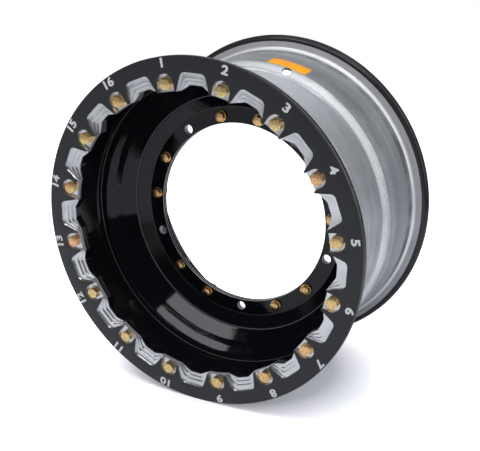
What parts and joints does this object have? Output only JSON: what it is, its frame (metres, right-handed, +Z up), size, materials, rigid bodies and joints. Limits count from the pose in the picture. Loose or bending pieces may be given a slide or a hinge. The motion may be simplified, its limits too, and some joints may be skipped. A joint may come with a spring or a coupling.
{
  "type": "beadlock wheel",
  "caption": "Two-piece racing wheel whose bolted front ring clamps the tyre bead, with an open hub bore, a hub bolt circle, a tapered rear bead seat and a valve hole.",
  "frame": {"origin": "centre of the hub bore on the mounting face, the rear face of the hub flange", "axes": "Y along the axle with the front face towards -Y, +Z up, +X to the right when seen from the front"},
  "size_m": [0.4147, 0.2307, 0.4148],
  "materials": {
    "black_ring": "satin black anodised with bare machined notches and pockets",
    "front_shell": "gloss black bowl, raw turned outside",
    "rear_shell": "raw turned, with a gloss black flange and inside",
    "gold_zinc": "yellow zinc plate",
    "grey_zinc": "clear zinc plate",
    "sealant": "matt grey"
  },
  "bodies": {
    "root": {"beadlock_ring": "black_ring", "base_ring": "front_shell", "outer_half": "front_shell", "inner_half": "rear_shell", "joint_seal": "sealant", "beadlock_bolts": "gold_zinc", "beadlock_inserts": "grey_zinc", "shell_bolts": "gold_zinc", "front_washers": "gold_zinc", "rear_washers": "grey_zinc", "lock_nuts": "grey_zinc"}
  },
  "joints": []
}
